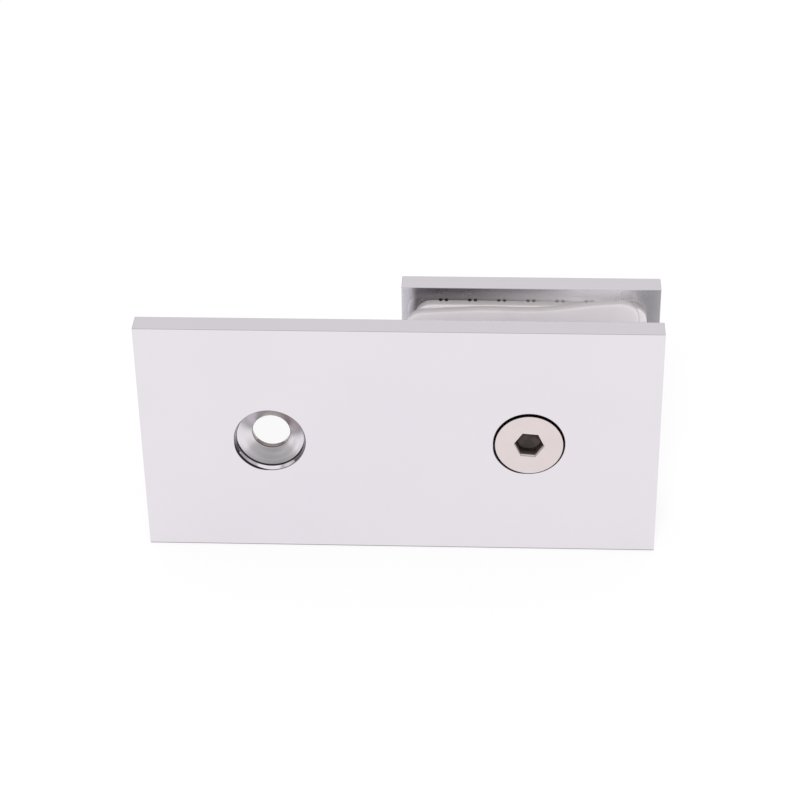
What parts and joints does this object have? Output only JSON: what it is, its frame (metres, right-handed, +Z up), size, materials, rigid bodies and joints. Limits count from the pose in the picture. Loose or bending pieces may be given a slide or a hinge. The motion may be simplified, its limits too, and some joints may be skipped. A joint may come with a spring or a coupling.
{
  "type": "glass clamp",
  "caption": "Flat rectangular wall-to-glass clamp: a long front plate with countersunk holes, a square clamping back plate, soft gaskets between them and a countersunk socket screw.",
  "frame": {"origin": "under the middle of the whole clamp, on the surface that both plates stand on", "axes": "+X along the front plate, towards the end with the back plate; +Y from the front plate's face towards the wall and the back plate; +Z up"},
  "size_m": [0.09, 0.022, 0.045],
  "materials": {
    "polished_chrome": "polished",
    "white_gasket": "soft, milky white",
    "stainless_screw": "satin"
  },
  "bodies": {
    "wall_side": {"front_plate": "polished_chrome"},
    "glass_side": {"back_plate": "polished_chrome", "rear_gasket": "white_gasket", "front_gasket": "white_gasket"},
    "screw": {"clamp_screw": "stainless_screw"}
  },
  "joints": [
    {"name": "back_plate_slide", "type": "slide", "parent": "wall_side", "child": "glass_side", "axis": [0, 1, 0], "range_m": [-0.0015, 0.0045]},
    {"name": "clamp_screw_turn", "type": "hinge", "parent": "wall_side", "child": "screw", "pos_m": [0.0225, -0.0106, 0.0225], "axis": [0, 1, 0], "range_deg": [-1620.1, 540.1]}
  ],
  "couplings": [
    {"joint": "clamp_screw_turn", "follows": "back_plate_slide", "rad_per_m": -6283.2}
  ]
}
